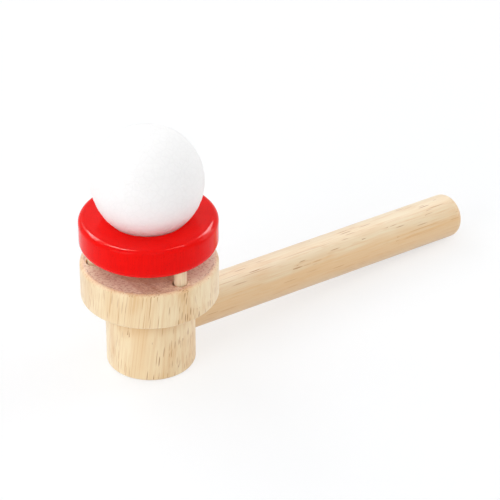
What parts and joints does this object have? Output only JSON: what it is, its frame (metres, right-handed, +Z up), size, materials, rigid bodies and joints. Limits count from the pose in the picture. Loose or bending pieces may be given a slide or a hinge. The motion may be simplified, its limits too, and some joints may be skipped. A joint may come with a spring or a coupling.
{
  "type": "blow ball pipe toy",
  "caption": "Wooden blow toy: breath blown through the sloping stem comes up through the turned head and lifts a foam ball off a ring that stands on short posts.",
  "frame": {"origin": "centre of the foot's flat underside, on the head's axis, where the toy stands", "axes": "+Z up along the head's axis; +X from the head towards the stem's mouth end, seen from above; +Y completes a right-handed frame"},
  "size_m": [0.1442, 0.0428, 0.081],
  "materials": {
    "rubberwood": "satin",
    "rubberwood_stem": "satin",
    "red_paint": "gloss",
    "post_wood": "satin",
    "white_foam": "matte"
  },
  "bodies": {
    "toy": {"head": "rubberwood", "stem": "rubberwood_stem", "catch_ring": "red_paint", "post_1": "post_wood", "post_2": "post_wood", "post_3": "post_wood"},
    "ball": {"ball": "white_foam"}
  },
  "joints": [
    {"name": "ball_lift", "type": "slide", "parent": "toy", "child": "ball", "axis": [0, 0, 1], "range_m": [0, 0.1]}
  ]
}
